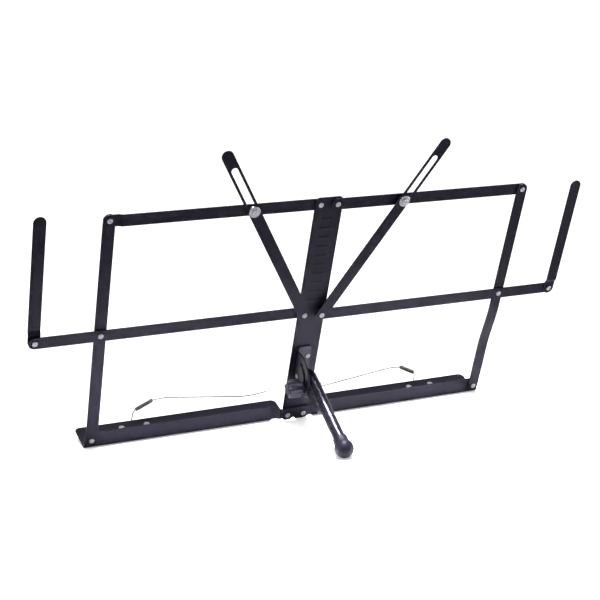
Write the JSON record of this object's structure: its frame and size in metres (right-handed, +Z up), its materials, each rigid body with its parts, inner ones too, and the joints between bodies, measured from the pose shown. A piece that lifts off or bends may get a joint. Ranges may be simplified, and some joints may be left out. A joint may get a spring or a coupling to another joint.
{
  "type": "folding music stand desk",
  "caption": "Folding music stand desk of hinged black steel strips with two page ledges, slotted braces, side arms, wire page holders and a tilting tube stem with a rubber foot.",
  "frame": {"origin": "centre of the bounding box on the surface that the ledges and the foot stand on", "axes": "+Z up; -Y towards the reader; +X to the reader's right, along the ledges"},
  "size_m": [0.6036, 0.172, 0.3203],
  "materials": {
    "black_paint": "satin powder coat",
    "zinc": "zinc plated",
    "spring_steel": "bright wire",
    "knob_plastic": "fine texture",
    "rubber": "matte",
    "gloss_paint": "gloss"
  },
  "bodies": {
    "plate": {"centre_plate": "black_paint", "pivot_strap": "black_paint", "tilt_bracket": "gloss_paint", "bracket_rivet_1": "zinc", "bracket_rivet_2": "zinc", "tilt_pin": "zinc", "middle_spacer_front_right": "zinc", "middle_spacer_back_right": "zinc", "middle_spacer_back_left": "zinc", "ledge_spacer_left": "zinc", "ledge_pivot_rivet_right": "zinc", "middle_pivot_rivet_right": "zinc", "top_pivot_rivet_right": "zinc", "ledge_pivot_rivet_left": "zinc", "middle_pivot_rivet_left": "zinc", "top_pivot_rivet_left": "zinc"},
    "ledge_right": {"ledge_right": "black_paint", "ledge_end_rivet_right": "zinc", "clamp_rivet_right_1": "zinc", "clamp_rivet_right_2": "zinc", "wire_clamp_right": "black_paint"},
    "top_bar_right": {"top_bar_right": "black_paint", "top_corner_rivet_right": "zinc", "brace_spacer_right": "zinc", "brace_washer_right": "zinc"},
    "middle_bar_right": {"middle_bar_right": "black_paint", "crossing_rivet_right": "zinc", "arm_rivet_right": "zinc", "arm_spacer_right": "zinc"},
    "upright_right": {"upright_right": "black_paint"},
    "brace_right": {"brace_right": "black_paint"},
    "side_arm_right": {"side_arm_right": "black_paint"},
    "page_holder_right": {"page_holder_right": "spring_steel"},
    "ledge_left": {"ledge_left": "black_paint", "ledge_end_rivet_left": "zinc", "clamp_rivet_left_1": "zinc", "clamp_rivet_left_2": "zinc", "wire_clamp_left": "black_paint"},
    "top_bar_left": {"top_bar_left": "black_paint", "top_corner_rivet_left": "zinc", "brace_spacer_left": "zinc", "brace_washer_left": "zinc"},
    "middle_bar_left": {"middle_bar_left": "black_paint", "crossing_rivet_left": "zinc", "arm_rivet_left": "zinc"},
    "upright_left": {"upright_left": "black_paint"},
    "brace_left": {"brace_left": "black_paint"},
    "side_arm_left": {"side_arm_left": "black_paint"},
    "page_holder_left": {"page_holder_left": "spring_steel"},
    "stem": {"stem_tube": "gloss_paint", "stem_foot": "rubber", "clamp_bolt": "black_paint", "clamp_washer": "black_paint"},
    "knob": {"star_knob": "knob_plastic"}
  },
  "joints": [
    {"name": "fold_right", "type": "hinge", "parent": "plate", "child": "ledge_right", "pos_m": [0.0093, -0.04249, 0.00841], "axis": [0, -0.9613, 0.2757], "range_deg": [0, 81]},
    {"name": "top_bar_right_turn", "type": "hinge", "parent": "plate", "child": "top_bar_right", "pos_m": [0.0093, 0.02836, 0.25545], "axis": [0, -0.9613, 0.2757], "range_deg": [0, 81]},
    {"name": "middle_bar_right_turn", "type": "hinge", "parent": "plate", "child": "middle_bar_right", "pos_m": [0.0093, -0.00706, 0.13193], "axis": [0, -0.9613, 0.2757], "range_deg": [0, 81]},
    {"name": "upright_right_turn", "type": "hinge", "parent": "ledge_right", "child": "upright_right", "pos_m": [0.2293, -0.04249, 0.00841], "axis": [0, -0.9613, 0.2757], "range_deg": [-81, 0]},
    {"name": "brace_right_turn", "type": "hinge", "parent": "plate", "child": "brace_right", "pos_m": [0.0093, -0.00706, 0.13193], "axis": [0, -0.9613, 0.2757], "range_deg": [0, 26.66]},
    {"name": "side_arm_right_swing", "type": "hinge", "parent": "middle_bar_right", "child": "side_arm_right", "pos_m": [0.2955, -0.00706, 0.13193], "axis": [0, -0.9613, 0.2757], "range_deg": [-90, 90]},
    {"name": "page_holder_right_swing", "type": "hinge", "parent": "ledge_right", "child": "page_holder_right", "pos_m": [0.1725, -0.08547, 0.00909], "axis": [0, -0.9613, 0.2757], "range_deg": [-80, 0]},
    {"name": "fold_left", "type": "hinge", "parent": "plate", "child": "ledge_left", "pos_m": [-0.0093, -0.04249, 0.00841], "axis": [0, 0.9613, -0.2757], "range_deg": [0, 81]},
    {"name": "top_bar_left_turn", "type": "hinge", "parent": "plate", "child": "top_bar_left", "pos_m": [-0.0093, 0.02836, 0.25545], "axis": [0, 0.9613, -0.2757], "range_deg": [0, 81]},
    {"name": "middle_bar_left_turn", "type": "hinge", "parent": "plate", "child": "middle_bar_left", "pos_m": [-0.0093, -0.00706, 0.13193], "axis": [0, 0.9613, -0.2757], "range_deg": [0, 81]},
    {"name": "upright_left_turn", "type": "hinge", "parent": "ledge_left", "child": "upright_left", "pos_m": [-0.2293, -0.04249, 0.00841], "axis": [0, 0.9613, -0.2757], "range_deg": [-81, 0]},
    {"name": "brace_left_turn", "type": "hinge", "parent": "plate", "child": "brace_left", "pos_m": [-0.0093, -0.00706, 0.13193], "axis": [0, 0.9613, -0.2757], "range_deg": [0, 26.66]},
    {"name": "side_arm_left_swing", "type": "hinge", "parent": "middle_bar_left", "child": "side_arm_left", "pos_m": [-0.2955, -0.00706, 0.13193], "axis": [0, 0.9613, -0.2757], "range_deg": [-90, 90]},
    {"name": "page_holder_left_swing", "type": "hinge", "parent": "ledge_left", "child": "page_holder_left", "pos_m": [-0.1725, -0.08235, 0.00909], "axis": [0, 0.9613, -0.2757], "range_deg": [-80, 0]},
    {"name": "stem_tilt", "type": "hinge", "parent": "plate", "child": "stem", "pos_m": [0, -0.01755, 0.05983], "axis": [1, 0, 0], "range_deg": [-4, 76]},
    {"name": "knob_turn", "type": "hinge", "parent": "stem", "child": "knob", "pos_m": [0.016, -0.0011, 0.05251], "axis": [1, 0, 0], "continuous": true}
  ],
  "couplings": [
    {"joint": "top_bar_right_turn", "follows": "fold_right", "ratio": 1},
    {"joint": "middle_bar_right_turn", "follows": "fold_right", "ratio": 1},
    {"joint": "upright_right_turn", "follows": "fold_right", "ratio": -1},
    {"joint": "brace_right_turn", "follows": "fold_right", "ratio": 0.329},
    {"joint": "top_bar_left_turn", "follows": "fold_left", "ratio": 1},
    {"joint": "middle_bar_left_turn", "follows": "fold_left", "ratio": 1},
    {"joint": "upright_left_turn", "follows": "fold_left", "ratio": -1},
    {"joint": "brace_left_turn", "follows": "fold_left", "ratio": 0.329}
  ]
}
